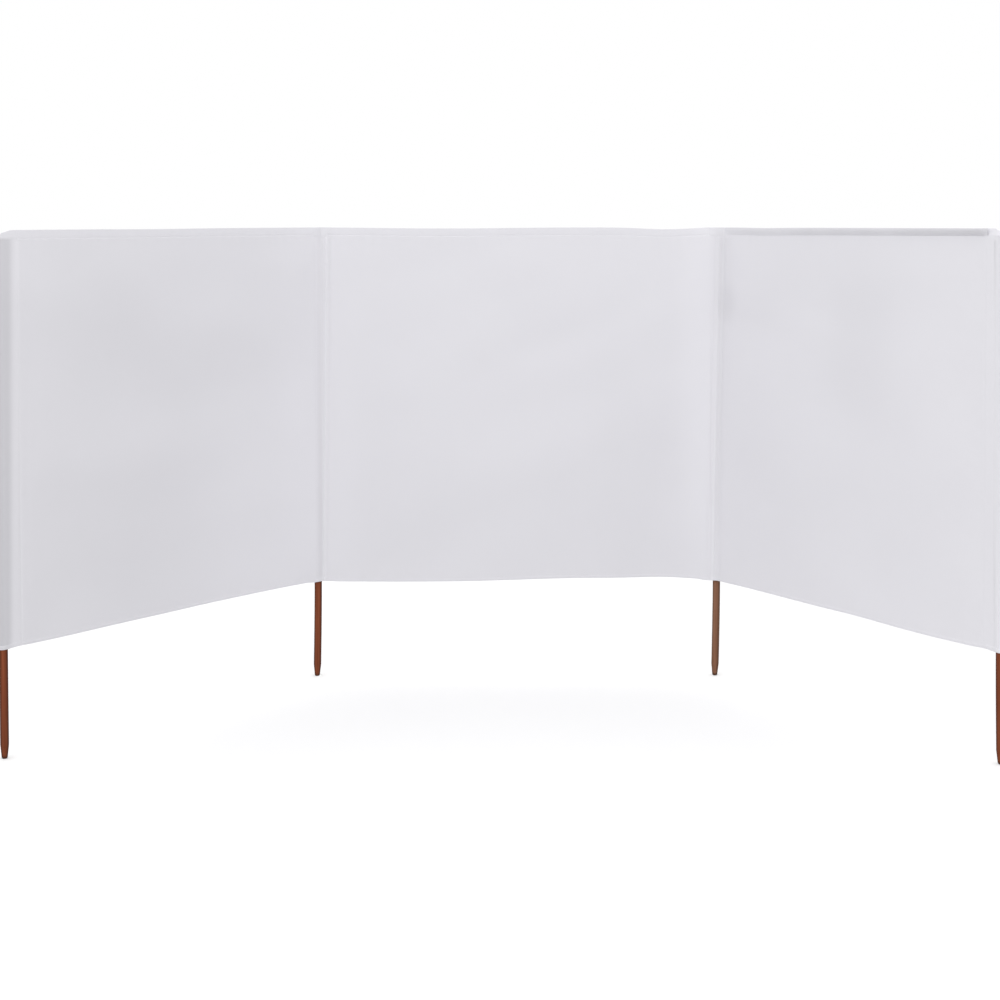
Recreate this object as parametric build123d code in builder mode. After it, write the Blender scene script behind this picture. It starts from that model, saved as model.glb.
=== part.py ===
# Beach windbreak: three bays of white cloth on four pointed wooden poles.
# The frame stands at the foot of the left-hand middle pole: X runs along the
# middle bay to the right, Y points away from the sheltered side, Z is up.
from math import acos, atan2, cos, hypot, radians, sin
import os

from build123d import *

# Cloth
bay_pitch = 1348
cloth_height = 1200
cloth_lift = 320
cloth_thickness = 1
hem_layers = 2
seam_layers = 2
top_hem_height = 30
bottom_hem_height = 12

# Angles in degrees by which the outer bays turn in from the line of the middle bay
left_turn = 53
right_turn = 59.5

# Poles
pole_diameter = 25
point_length = 40
point_diameter = 16.5
nose_rounding = 4
crown_rounding = 2

# Pole pockets: the loop runs on past the pole to a sewn tail, further at the end poles
pocket_clearance = 0.3
pocket_closing = 10
middle_loop_run = 4
end_loop_run = 32
seam_width = 6
mouth_hem_swell = 0.6
turning_clearance = 0.3

# Sizes that follow from the ones above
hem_thickness = hem_layers * cloth_thickness
seam_thickness = seam_layers * cloth_thickness
mouth_top = cloth_lift + bottom_hem_height
hem_foot = cloth_lift + cloth_height - top_hem_height
pocket_ceiling = hem_foot - pocket_closing
pole_length = pocket_ceiling - pocket_clearance
pole_radius = pole_diameter / 2
point_radius = point_diameter / 2
pocket_inner_radius = pole_radius + pocket_clearance
pocket_outer_radius = pocket_inner_radius + cloth_thickness
mouth_radius = pocket_outer_radius + mouth_hem_swell
turning_radius = mouth_radius + turning_clearance
middle_seam_reach = pocket_outer_radius + middle_loop_run + seam_width
end_seam_reach = pocket_outer_radius + end_loop_run + seam_width

# Directions of the bays on the ground, as seen from the middle pole where each starts
left_way = (-cos(radians(left_turn)), -sin(radians(left_turn)))
middle_way = (1, 0)
right_way = (cos(radians(right_turn)), -sin(radians(right_turn)))


def reverse(way):
    """The same direction seen from the other end of the bay."""
    return (-way[0], -way[1])


def along(place, way, reach):
    """The ground point that lies a given reach from a place."""
    return (place[0] + way[0] * reach, place[1] + way[1] * reach)


def ground_plane(place, way):
    """A level plane at the poles' feet whose X axis runs along the cloth."""
    return Plane(origin=(*place, 0), x_dir=(*way, 0), z_dir=(0, 0, 1))


left_place = (0, 0)
right_place = along(left_place, middle_way, bay_pitch)
left_end_place = along(left_place, left_way, bay_pitch)
right_end_place = along(right_place, right_way, bay_pitch)

# Each pole has a plane whose X points into the panel that its pocket is sewn to
poles = {
    "left_end": (ground_plane(left_end_place, reverse(left_way)), end_seam_reach),
    "left": (ground_plane(left_place, middle_way), middle_seam_reach),
    "right": (ground_plane(right_place, reverse(middle_way)), middle_seam_reach),
    "right_end": (ground_plane(right_end_place, reverse(right_way)), end_seam_reach),
}

# Each bay has its plane and the seam reach at the pole that it ends on
bays = {
    "left": (ground_plane(left_place, left_way), end_seam_reach),
    "middle": (ground_plane(left_place, middle_way), middle_seam_reach),
    "right": (ground_plane(right_place, right_way), end_seam_reach),
}


def loop_outline(centre, radius, tail_thickness, seam_reach):
    """A cloth loop in plan: an arc behind the pole, two straight runs that touch
    it, and a flat sewn tail as thick as the layers that meet there."""
    half_tail = tail_thickness / 2
    tail_start = seam_reach - seam_width
    touch = atan2(half_tail, tail_start - centre) + acos(radius / hypot(tail_start - centre, half_tail))
    side = (centre + radius * cos(touch), radius * sin(touch))
    with BuildLine() as loop:
        ThreePointArc(side, (centre - radius, 0), (side[0], -side[1]))
        Polyline(
            (side[0], -side[1]),
            (tail_start, -half_tail),
            (seam_reach, -half_tail),
            (seam_reach, half_tail),
            (tail_start, half_tail),
            side,
        )
    return loop.edges()


def loop_hollow(seam_reach):
    """The room for the pole in a loop: an arc and two straight runs that close to a point."""
    tail_start = seam_reach - seam_width
    touch = acos(pocket_inner_radius / tail_start)
    side = (pocket_inner_radius * cos(touch), pocket_inner_radius * sin(touch))
    with BuildLine() as hollow:
        ThreePointArc(side, (-pocket_inner_radius, 0), (side[0], -side[1]))
        Polyline((side[0], -side[1]), (tail_start, 0), side)
    return hollow.edges()


def flattened_outline(seam_reach):
    """The same loop pressed flat where the top hem closes the pocket."""
    half_hem = hem_thickness / 2
    return loop_outline(half_hem - pocket_outer_radius, half_hem, hem_thickness, seam_reach)


os.makedirs("parts", exist_ok=True)

for name, (plane, seam_reach) in poles.items():
    # Pole: a turned dowel with a blunt point below and an eased crown above
    with BuildPart() as pole:
        with BuildSketch(Plane(origin=plane.origin, x_dir=plane.x_dir, z_dir=-plane.y_dir)):
            with BuildLine():
                Polyline(
                    (0, 0),
                    (point_radius, 0),
                    (pole_radius, point_length),
                    (pole_radius, pole_length),
                    (0, pole_length),
                    close=True,
                )
            make_face()
        revolve(axis=Axis(plane.origin, plane.z_dir))
        rims = pole.edges().filter_by(GeomType.CIRCLE).sort_by(Axis.Z)
        fillet(rims[0], nose_rounding)
        fillet(rims[-1], crown_rounding)
    pole.part.label = f"{name}_pole"
    export_step(pole.part, f"parts/{pole.part.label}.step")

    # Pocket: a loop of cloth round the pole that flattens into the top hem and so closes
    with BuildPart() as pocket:
        with BuildSketch(plane.offset(mouth_top)):
            make_face(loop_outline(0, pocket_outer_radius, seam_thickness, seam_reach))
            make_face(loop_hollow(seam_reach), mode=Mode.SUBTRACT)
        extrude(amount=pocket_ceiling - mouth_top)
        with BuildSketch(plane.offset(pocket_ceiling)):
            make_face(loop_outline(0, pocket_outer_radius, seam_thickness, seam_reach))
        with BuildSketch(plane.offset(hem_foot)):
            make_face(flattened_outline(seam_reach))
        loft()
        with BuildSketch(plane.offset(hem_foot)):
            make_face(flattened_outline(seam_reach))
        extrude(amount=top_hem_height)
    pocket.part.label = f"{name}_pocket"
    export_step(pocket.part, f"parts/{pocket.part.label}.step")

    # Mouth hem: the turned-up rim round the open lower end of the pocket
    with BuildPart() as mouth_hem:
        with BuildSketch(plane.offset(cloth_lift)):
            make_face(loop_outline(0, mouth_radius, hem_thickness, seam_reach))
            make_face(loop_hollow(seam_reach), mode=Mode.SUBTRACT)
        extrude(amount=bottom_hem_height)
    mouth_hem.part.label = f"{name}_mouth_hem"
    export_step(mouth_hem.part, f"parts/{mouth_hem.part.label}.step")

for name, (plane, far_seam_reach) in bays.items():
    cloth_width = bay_pitch - middle_seam_reach - far_seam_reach
    cloth_middle = middle_seam_reach + cloth_width / 2

    # Panel: the single cloth between its two hems
    with BuildPart() as panel:
        with BuildSketch(plane.offset(mouth_top)):
            with Locations((cloth_middle, 0)):
                Rectangle(cloth_width, cloth_thickness)
        extrude(amount=hem_foot - mouth_top)
    panel.part.label = f"{name}_panel"
    export_step(panel.part, f"parts/{panel.part.label}.step")

    # Hems: the folded edges along the top and the bottom of the panel
    with BuildPart() as top_hem:
        with BuildSketch(plane.offset(hem_foot)):
            with Locations((cloth_middle, 0)):
                Rectangle(cloth_width, hem_thickness)
        extrude(amount=top_hem_height)
    top_hem.part.label = f"{name}_top_hem"
    export_step(top_hem.part, f"parts/{top_hem.part.label}.step")

    with BuildPart() as bottom_hem:
        with BuildSketch(plane.offset(cloth_lift)):
            with Locations((cloth_middle, 0)):
                Rectangle(cloth_width, hem_thickness)
        extrude(amount=bottom_hem_height)
    bottom_hem.part.label = f"{name}_bottom_hem"
    export_step(bottom_hem.part, f"parts/{bottom_hem.part.label}.step")

for name in ("left", "right"):
    bay_plane = bays[name][0]

    # Pocket seam: the doubled strip by which an outer bay hangs on the pocket that it turns about
    with BuildPart() as pocket_seam:
        with BuildSketch(bay_plane.offset(cloth_lift)):
            with Locations((middle_seam_reach / 2, 0)):
                Rectangle(middle_seam_reach, seam_thickness)
            Circle(turning_radius, mode=Mode.SUBTRACT)
        extrude(amount=cloth_height)
    pocket_seam.part.label = f"{name}_pocket_seam"
    export_step(pocket_seam.part, f"parts/{pocket_seam.part.label}.step")
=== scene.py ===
import bmesh
import bpy
import numpy as np
from mathutils import Euler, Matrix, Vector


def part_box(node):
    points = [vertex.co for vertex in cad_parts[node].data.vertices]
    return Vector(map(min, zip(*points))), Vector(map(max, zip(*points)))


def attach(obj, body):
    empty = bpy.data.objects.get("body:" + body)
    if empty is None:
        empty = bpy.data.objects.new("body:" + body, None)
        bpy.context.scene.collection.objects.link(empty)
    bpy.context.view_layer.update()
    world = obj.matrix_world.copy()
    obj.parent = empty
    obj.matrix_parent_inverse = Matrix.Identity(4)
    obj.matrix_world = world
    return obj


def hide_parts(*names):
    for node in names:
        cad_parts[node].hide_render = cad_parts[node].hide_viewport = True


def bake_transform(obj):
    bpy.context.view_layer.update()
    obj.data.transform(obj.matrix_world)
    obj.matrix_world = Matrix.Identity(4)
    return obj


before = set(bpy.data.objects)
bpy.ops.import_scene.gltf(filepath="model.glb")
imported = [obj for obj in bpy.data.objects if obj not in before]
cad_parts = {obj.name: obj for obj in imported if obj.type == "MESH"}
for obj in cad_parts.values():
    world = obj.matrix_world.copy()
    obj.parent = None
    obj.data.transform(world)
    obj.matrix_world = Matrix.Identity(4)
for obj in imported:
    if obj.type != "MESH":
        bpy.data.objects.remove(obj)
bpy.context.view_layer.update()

mm = 0.001
fullTurn = 2 * np.pi
up = np.array([0.0, 0.0, 1.0])
tiny = 1e-12  # keeps a length of nothing out of a division

# Where the poles, the hems and the bays stand, all read from the frame.
poleNames = ["left_end", "left", "right", "right_end"]
poleAxis = {}
for poleName in poleNames:
    low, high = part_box(poleName + "_pole")
    poleAxis[poleName] = np.array([(low.x + high.x) / 2, (low.y + high.y) / 2, 0.0])
poleLow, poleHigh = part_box("left_pole")
poleRadius = (poleHigh.x - poleLow.x) / 2
poleTop = poleHigh.z
hemLow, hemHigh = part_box("middle_bottom_hem")
clothBottom, mouthTop = hemLow.z, hemHigh.z
hemLow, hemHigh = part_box("middle_top_hem")
hemFoot, clothTop = hemLow.z, hemHigh.z
shelterCentre = np.mean(list(poleAxis.values()), axis=0)

# A loop of cloth round a pole: its slack, the cloth's own thickness and its doubled tails.
loopLook = {"slack": 0.5 * mm, "wall": 0.8 * mm, "tailHalf": 1.15 * mm}
loopRadius = poleRadius + loopLook["slack"] + loopLook["wall"]

# Where each bay meets its poles. Lean: how far the cloth stands off the line from pole to pole,
# at the bottom and at the top: across the front of a pole, beside it, or crossing over from one
# to the other. Tail: where its doubled strip starts and ends.
acrossFront = (loopRadius - loopLook["tailHalf"],) * 2
besidePole = (4.4 * mm, 4.4 * mm)
crossingOver = (8.0 * mm, -12.0 * mm)
bays = {
    "left": {"start": "left", "end": "left_end", "body": "left_bay",
             "startLean": acrossFront, "endLean": acrossFront,
             "startTail": (18 * mm, 27 * mm), "endTail": (46 * mm, 56 * mm)},
    "middle": {"start": "left", "end": "right", "body": "centre_bay",
               "startLean": besidePole, "endLean": acrossFront,
               "startTail": (20 * mm, 36 * mm), "endTail": (17 * mm, 26 * mm)},
    "right": {"start": "right", "end": "right_end", "body": "right_bay",
              "startLean": crossingOver, "endLean": acrossFront,
              "startTail": (27 * mm, 36 * mm), "endTail": (46 * mm, 56 * mm)},
}


def nodeReach(nodeName, origin, way):
    # A node's nearest and furthest reach along a direction on the ground.
    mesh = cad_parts[nodeName].data
    places = np.empty(len(mesh.vertices) * 3, np.float32)
    mesh.vertices.foreach_get("co", places)
    reach = (places.reshape(-1, 3) - origin) @ way
    return float(reach.min()), float(reach.max())


for bayName, bay in bays.items():
    run = poleAxis[bay["end"]] - poleAxis[bay["start"]]
    bay["origin"] = poleAxis[bay["start"]]
    bay["pitch"] = float(np.linalg.norm(run))
    bay["way"] = run / bay["pitch"]
    face = np.cross(bay["way"], up)
    bay["face"] = face * np.sign(face @ (shelterCentre - bay["origin"]))
    bay["from"], bay["to"] = nodeReach(bayName + "_panel", bay["origin"], bay["way"])
print("bays:", {name: round(bay["to"] - bay["from"], 4) for name, bay in bays.items()})


def smooth(x):
    # A step from 0 to 1 that is level at both ends: three times the square less twice the cube.
    x = np.clip(x, 0, 1)
    return x * x * (3 - 2 * x)


def bump(x, middle, width):
    # A bell: e to the power of minus the square of the distance, counted in widths.
    return np.exp(-((x - middle) / width) ** 2)


def heightShare(z):
    return (z - clothBottom) / (clothTop - clothBottom)


def between(values, share):
    # Values at even steps from share 0 to share 1, joined by straight lines.
    return np.interp(share, np.linspace(0, 1, len(values)), values)


def crowded(count, crowding):
    # Shares from 0 to 1 that lie closer together near both ends.
    s = np.linspace(0, 1, count)
    return s - crowding * np.sin(fullTurn * s) / fullTurn


# Meshes from arrays

def meshObject(name, points, faces):
    mesh = bpy.data.meshes.new(name)
    mesh.from_pydata(points.tolist(), [], faces.tolist())
    mesh.update()
    piece = bpy.data.objects.new(name, mesh)
    bpy.context.scene.collection.objects.link(piece)
    return piece


def smoothShading(piece):
    flags = np.ones(len(piece.data.polygons), bool)
    piece.data.polygons.foreach_set("use_smooth", flags)
    piece.data.update()


def gridObject(name, points, clothMap=None, ring=False):
    # Each corner of the grid joins the next column and the next row; a ring joins its last
    # column to its first, and its map then has one column more than its points.
    rows, columns = points.shape[:2]
    across = columns if ring else columns - 1
    row, column = np.meshgrid(np.arange(rows - 1), np.arange(across), indexing="ij")
    after = (column + 1) % columns
    corners = [row * columns + column, row * columns + after,
               (row + 1) * columns + after, (row + 1) * columns + column]
    piece = meshObject(name, points.reshape(-1, 3), np.stack(corners, -1).reshape(-1, 4))
    if clothMap is not None:
        wide = clothMap.shape[1]
        places = [row * wide + column, row * wide + column + 1,
                  (row + 1) * wide + column + 1, (row + 1) * wide + column]
        uv = clothMap.reshape(-1, 2)[np.stack(places, -1).ravel()]
        layer = piece.data.uv_layers.new(name="clothMap")
        layer.data.foreach_set("uv", uv.astype(np.float32).ravel())
    smoothShading(piece)
    return piece


def closeShell(piece, merge=0.0):
    # Merges doubles, fills the open ends flat and turns every face outwards.
    shell = bmesh.new()
    shell.from_mesh(piece.data)
    if merge > 0:
        bmesh.ops.remove_doubles(shell, verts=shell.verts, dist=merge)
    openEdges = [edge for edge in shell.edges if edge.is_boundary]
    if openEdges:
        caps = bmesh.ops.holes_fill(shell, edges=openEdges, sides=0)["faces"]
        bmesh.ops.triangulate(shell, faces=caps)
    bmesh.ops.recalc_face_normals(shell, faces=shell.faces)
    shell.to_mesh(piece.data)
    shell.free()
    smoothShading(piece)


# Cloth in the open: each bay's sheet is a height over the plane of its two poles.
# Folds: a soft ridge along a line, from (u0, v0) to (u1, v1) as shares of the bay, with its
# width and its height. Sags: where the top or bottom edge leaves the straight line. Tones: painted
# light and shade, soft patches (u, v, half width, half height, amount) where the cloth is painted a
# little lighter or darker, standing in for the soft shading of its folds.
clothLook = {
    "pinRun": 90 * mm, "edgePinRun": 50 * mm, "hangRun": 120 * mm, "hangShare": 0.75,
    "waveCount": 10, "waveHeight": 0.7 * mm, "waveLengths": (0.22, 0.75), "waveUnit": 0.5,
    "puckerHeight": 0.35 * mm, "puckerDepth": 22 * mm, "puckerDrift": 1.7, "driftPitch": 4.3,
    "sidePuckers": 61 * mm, "sideRun": 20 * mm, "hemPuckers": 47 * mm,
    "puffRun": 7 * mm, "flush": 0.65 * mm, "toneEdge": 1.5,
    "bays": {
        "left": {
            "seed": 3, "approach": (0.55, 0.5), "puff": (0.3 * mm, 1.2 * mm),
            "folds": [
                (0.30, 0.76, 0.85, 0.80, 85 * mm, 2.0 * mm),
                (0.38, 0.40, 0.95, 0.42, 95 * mm, 2.5 * mm),
            ],
            "topSags": [(0.55, 0.12, -1.2 * mm)],
            "bottomSags": [(0.12, 0.17, 4.5 * mm), (0.34, 0.2, 2.6 * mm), (0.88, 0.12, -2.0 * mm)],
            "tones": [
                (0.47, 0.645, 0.24, 0.11, -0.028),
                (0.62, 0.22, 0.28, 0.17, -0.022),
                (0.74, 0.78, 0.20, 0.13, -0.028),
                (0.08, 0.05, 0.38, 0.55, 0.070),
                (0.00, 0.62, 0.16, 0.72, 0.048),
                (0.95, 0.93, 0.10, 0.08, 0.026),
                (0.00, 0.95, 0.06, 0.25, 0.013),
            ],
        },
        "middle": {
            "seed": 7, "approach": (0.45, 0.2), "puff": (0.0, 0.0),
            "folds": [
                (0.42, 0.60, 0.76, 0.75, 50 * mm, -1.5 * mm),
                (0.10, 0.36, 0.60, 0.33, 110 * mm, 2.0 * mm),
                (0.80, 0.15, 0.84, 0.75, 60 * mm, 1.6 * mm),
            ],
            "topSags": [(0.32, 0.20, -3.8 * mm), (0.87, 0.08, -6.0 * mm)],
            "bottomSags": [(0.30, 0.26, -4.5 * mm), (0.66, 0.22, 7.5 * mm), (0.88, 0.10, 7.5 * mm)],
            "tones": [
                (0.50, 0.14, 0.48, 0.18, -0.012),
                (0.78, 0.28, 0.085, 0.32, -0.014),
                (0.58, 0.64, 0.16, 0.05, 0.010),
                (0.985, 0.60, 0.075, 0.70, 0.060),
                (0.03, 0.35, 0.08, 0.60, 0.026),
            ],
        },
        "right": {
            "seed": 12, "approach": (0.5, 0.5), "puff": (0.3 * mm, 0.4 * mm),
            "folds": [
                (0.04, 0.80, 0.42, 0.72, 45 * mm, 1.5 * mm),
                (0.30, 0.30, 0.90, 0.36, 120 * mm, 2.0 * mm),
            ],
            "topSags": [(0.20, 0.08, -1.5 * mm)],
            "bottomSags": [(0.74, 0.18, -6.5 * mm), (0.42, 0.2, -3.0 * mm)],
            "tones": [
                (0.16, 0.78, 0.13, 0.06, -0.014),
                (0.038, 0.785, 0.034, 0.055, -0.050),
                (0.54, 0.70, 0.13, 0.18, -0.034),
                (0.55, 0.02, 0.70, 0.22, 0.022),
                (0.86, 0.55, 0.22, 0.60, 0.010),
                (0.36, 0.90, 0.46, 0.14, -0.028),
            ],
        },
    },
}


def foldHeight(bay, look, along, z):
    # The sum of the ridges: each falls off as a bell with the distance from its line.
    total = 0
    height = clothTop - clothBottom
    for u0, v0, u1, v1, width, rise in look["folds"]:
        a, b = u0 * bay["pitch"], clothBottom + v0 * height
        da, db = u1 * bay["pitch"] - a, (v1 - v0) * height
        t = np.clip(((along - a) * da + (z - b) * db) / (da * da + db * db), 0, 1)
        away = np.hypot(along - a - t * da, z - b - t * db)
        total = total + rise * np.exp(-(away / width) ** 2)
    return total


def waveHeight(look, along, z):
    # The sum of long sine waves in seeded directions, the longest ones the highest.
    draw = np.random.default_rng(look["seed"])
    total = 0
    for step in range(clothLook["waveCount"]):
        length = draw.uniform(*clothLook["waveLengths"])
        heading, phase = draw.uniform(0, fullTurn, 2)
        across = along * np.cos(heading) + z * np.sin(heading)
        rise = clothLook["waveHeight"] * length / clothLook["waveUnit"]
        total = total + rise * np.sin(fullTurn * across / length + phase)
    return total


def puckerHeight(run, away, pitch):
    # Small gathers along a seam, unevenly spaced, dying out with the distance from it.
    drift = clothLook["puckerDrift"] * np.sin(fullTurn * run / (clothLook["driftPitch"] * pitch))
    wobble = np.sin(fullTurn * run / pitch + drift)
    return clothLook["puckerHeight"] * wobble * np.exp(-np.abs(away) / clothLook["puckerDepth"])


def seamPuff(height, away):
    # The cloth swells beside a stitched tail: x times e to the power of 1 - x, highest at x = 1.
    x = np.maximum(away, 0) / clothLook["puffRun"]
    return height * x * np.exp(1 - x)


# Lines beside the poles: each has its bay, its reach from the pole along that bay, its width, its
# height and its change of tone. Reach, height and tone run from the bottom of the cloth to its top.
# The change of tone is painted light and shade: a ridge is painted a little lighter, partly for its
# doubled cloth and partly as a painted highlight; a crease and the corner between two bays are
# painted darker, as painted shade.
seamFade = 10 * mm
noHeight = (0.0, 0.0)
seamLines = {
    "left_end": [("left", (38 * mm, 55 * mm), 7 * mm, (0.2 * mm, 0.6 * mm), (0.004, 0.030))],
    "left": [
        ("middle", (22 * mm, 34 * mm), 4 * mm, (1.0 * mm, 2.2 * mm), (0.008, 0.038)),
        ("middle", (33 * mm, 46 * mm), 3.5 * mm, (-0.3 * mm, -1.2 * mm), (-0.004, -0.042)),
        ("left", (8 * mm, 13 * mm), 12 * mm, noHeight, (0.0, 0.0, 0.024)),
    ],
    "right": [
        ("middle", (14 * mm, -6 * mm), 4.5 * mm, (2.0 * mm, 1.2 * mm), (0.035, 0.028)),
        ("middle", (32 * mm, 6 * mm), 3.5 * mm, (-0.6 * mm, -0.6 * mm), (0.0, -0.016, -0.002)),
        ("right", (14 * mm, 31 * mm), 12 * mm, noHeight, (-0.010, -0.036, -0.022)),
        ("right", (26 * mm, 50 * mm), 28 * mm, noHeight, (-0.004, -0.018)),
    ],
    "right_end": [
        ("right", (11 * mm, 19 * mm), 3 * mm, (-0.9 * mm, -0.5 * mm, -1.5 * mm),
         (-0.03, -0.11, -0.03, -0.012, -0.012, -0.035, -0.20)),
    ],
}


def seamSum(poleName, bayName, reach, z, key):
    # The sum of a pole's lines on one bay, each a bell across its line, up to the foot of the hem.
    v = heightShare(z)
    total = 0 * reach
    for lineBay, place, width, height, tone in seamLines[poleName]:
        if lineBay == bayName:
            amount = height if key == "height" else tone
            total = total + between(amount, v) * bump(reach, between(place, v), width)
    return total * (1 - smooth((z - hemFoot) / seamFade + 1))


def baySeams(bayName, along, z, key):
    bay = bays[bayName]
    return (seamSum(bay["start"], bayName, along, z, key)
            + seamSum(bay["end"], bayName, bay["pitch"] - along, z, key))


def sheetOffset(bayName, along, z):
    # How far the cloth stands towards the shelter: the lean at each pole, flush with the face of
    # the tail there, the folds and waves, held flat at the seams, and the puckers and puffs that
    # start from the seams and hems.
    bay = bays[bayName]
    look = clothLook["bays"][bayName]
    along, z = np.broadcast_arrays(np.asarray(along, float), np.asarray(z, float))
    fromStart = along - bay["startTail"][1]
    fromEnd = bay["pitch"] - bay["endTail"][1] - along
    fromSeam = np.minimum(fromStart, fromEnd)
    startRun, endRun = look["approach"]
    v = heightShare(z)
    flush = clothLook["flush"]
    lean = ((between(bay["startLean"], v) + flush) * (1 - smooth(fromStart / startRun))
            + (between(bay["endLean"], v) + flush) * (1 - smooth(fromEnd / endRun)))
    hung = 1 - clothLook["hangShare"] * smooth((z - hemFoot) / clothLook["hangRun"] + 1)
    relief = (foldHeight(bay, look, along, z) + waveHeight(look, along, z)) * hung
    fromHem = np.minimum(z - mouthTop, hemFoot - z)
    relief = relief + puckerHeight(along, fromHem, clothLook["hemPuckers"])
    sidePucker = puckerHeight(z, fromSeam, clothLook["sidePuckers"])
    sidePucker = sidePucker * smooth(fromSeam / clothLook["sideRun"])
    puff = seamPuff(look["puff"][0], fromStart) + seamPuff(look["puff"][1], fromEnd)
    puff = puff + baySeams(bayName, along, z, "height")
    return lean + smooth(fromSeam / clothLook["pinRun"]) * relief + sidePucker + puff


def patchLightAndShade(bayName, along, z):
    # The sum of the painted light and shade patches, each a bell with a broad top.
    u, v = along / bays[bayName]["pitch"], heightShare(z)
    total = 0
    for u0, v0, wide, high, amount in clothLook["bays"][bayName]["tones"]:
        spread = ((u - u0) / wide) ** 2 + ((v - v0) / high) ** 2
        total = total + amount * np.exp(-spread ** clothLook["toneEdge"])
    return total


def clothLightAndShade(bayName, along, z):
    # Painted light and shade on the cloth: the patches and the lines beside the poles.
    return patchLightAndShade(bayName, along, z) + baySeams(bayName, along, z, "tone")


# How far the cloth has slid up (or down) each pole at the bottom and at the top.
slideLook = {
    "bottom": {"left_end": 0.0, "left": 4 * mm, "right": 5 * mm, "right_end": 3.5 * mm},
    "top": {"left_end": 0.0, "left": 0.0, "right": -3 * mm, "right_end": 0.0},
}


def edgeShift(bayName, along, edge):
    # The slide at the two poles, shared out between them, and the sags of the edge as a sum of
    # bells, nothing at the poles.
    bay = bays[bayName]
    u = along / bay["pitch"]
    run = clothLook["edgePinRun"]
    held = smooth((along - bay["from"]) / run) * smooth((bay["to"] - along) / run)
    sags = clothLook["bays"][bayName][edge + "Sags"]
    slide = slideLook[edge][bay["start"]] * (1 - u) + slideLook[edge][bay["end"]] * u
    return slide + held * sum(size * bump(u, middle, width) for middle, width, size in sags)


def bayPoints(bayName, along, offset, z):
    bay = bays[bayName]
    along, offset, z = (part[..., None] for part in np.broadcast_arrays(along, offset, z))
    return bay["origin"] + along * bay["way"] + offset * bay["face"] + z * up


def addAttribute(piece, name, values):
    layer = piece.data.attributes.new(name, "FLOAT", "POINT")
    layer.data.foreach_set("value", np.asarray(values, np.float32).ravel())


# Painted shade beside the poles, up to the foot of the hem: the cloth is painted darker where a
# pole's shadow shows through it and where the creases beside it lie in shade. At the left end the
# whole strip from the fold out to an edge is painted darker, more so round the outside where the
# key light falls; at a middle pole the painted shade lies round a line that may lean. Depth, edge
# and shift are for the bottom and the top.
paintedPoleShade = {
    "topFade": 4 * mm, "outerRun": 12 * mm, "outerShare": 0.6, "rimShare": 0.5, "within": 0.3,
    "lineFade": 15 * mm,
    "strips": {
        "left_end": {"bay": "left", "depth": (0.27, 0.24), "edge": (4 * mm, 19 * mm), "fade": 27 * mm},
    },
    "lines": {
        "left": {"depth": (0.090, 0.010), "shift": (-4 * mm, 14 * mm)},
        "right": {"depth": (0.050, 0.010), "shift": (-3 * mm, 8 * mm)},
    },
}


def stripShade(poleName, look, x, y, v):
    # Full from the outside in to the edge, deeper round the outside, and fading past the edge.
    bay = bays[look["bay"]]
    way = bay["way"] * (-1 if bay["end"] == poleName else 1)
    reach = x * way[0] + y * way[1]
    near = 1 - smooth((reach - between(look["edge"], v)) / look["fade"])
    outer = 1 + paintedPoleShade["outerShare"] * smooth(-reach / paintedPoleShade["outerRun"])
    return between(look["depth"], v) * near * outer


def lineShade(poleName, look, x, y, v):
    # Full within the loop's radius of the line, and fading past it.
    away = np.hypot(x - between(look["shift"], v), y)
    return between(look["depth"], v) * (1 - smooth((away - loopRadius) / paintedPoleShade["lineFade"]))


def addPoleShade(piece, share=1.0):
    # The deepest of the shades that reach each point, from its place beside each pole.
    places = np.empty(len(piece.data.vertices) * 3, np.float32)
    piece.data.vertices.foreach_get("co", places)
    x, y, z = places.reshape(-1, 3).T
    v = heightShare(z)
    shade = np.zeros(len(x))
    for kind, formula in (("strips", stripShade), ("lines", lineShade)):
        for poleName, look in paintedPoleShade[kind].items():
            besideX, besideY = x - poleAxis[poleName][0], y - poleAxis[poleName][1]
            near = np.hypot(besideX, besideY) < paintedPoleShade["within"]
            covered = 1 - smooth((z - pocketHemFoot(poleName)) / paintedPoleShade["topFade"] + 1)
            depth = formula(poleName, look, besideX, besideY, v)
            shade = np.maximum(shade, near * covered * depth)
    addAttribute(piece, "poleShade", share * shade)


# Panels: the sheet function on a grid that is finer beside the seams and hems.
panelLook = {"columns": 150, "rows": 140, "crowding": 0.74, "thickness": 0.7 * mm, "tuck": 4 * mm}

# Hems: a flat rounded fold carried along the edge of the sheet, thin at its sewn edge. The top
# one leans out over the sheet by lean at the start of the bay and at its end, with a slow wave.
# Rise: how far its foot stands above the plain height. Slant: how far its far end is cut askew.
# Beyond: how far that end runs on over the pocket. Tone runs along it, and a grade from foot to
# tip: both are painted light and shade on the fold.
plainHem = {"rise": (0.0, 0.0), "wave": 0.4 * mm, "slant": 0.0, "beyond": 0.0, "shadeGrade": (0.0, 0.0)}
hemLook = {
    "stations": 170, "crowding": 0.7, "around": 36, "overlap": 3 * mm, "thickness": 2.0 * mm,
    "squareness": 0.32, "pillow": 0.22, "sewnShare": 0.25, "sewnRun": 0.35, "easing": 1.8,
    "waveLength": 0.19, "waveDrift": 2, "driftRate": 9, "startRun": 0.05, "endRun": 0.012,
    "endHold": 0.55, "slantRun": 0.03, "bottomLightLine": 0.012, "setBack": 0.25 * mm,
    "taperRun": 16 * mm, "taperShare": 0.45,
    "bays": {
        "left": {**plainHem, "lean": (-1.2 * mm, -1.8 * mm), "tone": (0.0, 0.004)},
        "middle": {**plainHem, "lean": (-1.4 * mm, -1.0 * mm), "tone": (-0.012, -0.006)},
        "right": {
            "rise": (3 * mm, 8 * mm), "lean": (5.5 * mm, 14.5 * mm), "wave": 1.2 * mm,
            "slant": 6 * mm, "beyond": 5 * mm,
            "tone": (-0.015, -0.006, -0.007, -0.010, 0.010, -0.032, -0.035),
            "shadeGrade": (0.045, 0.025, -0.015, -0.035, -0.035, -0.015),
        },
    },
}


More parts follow.
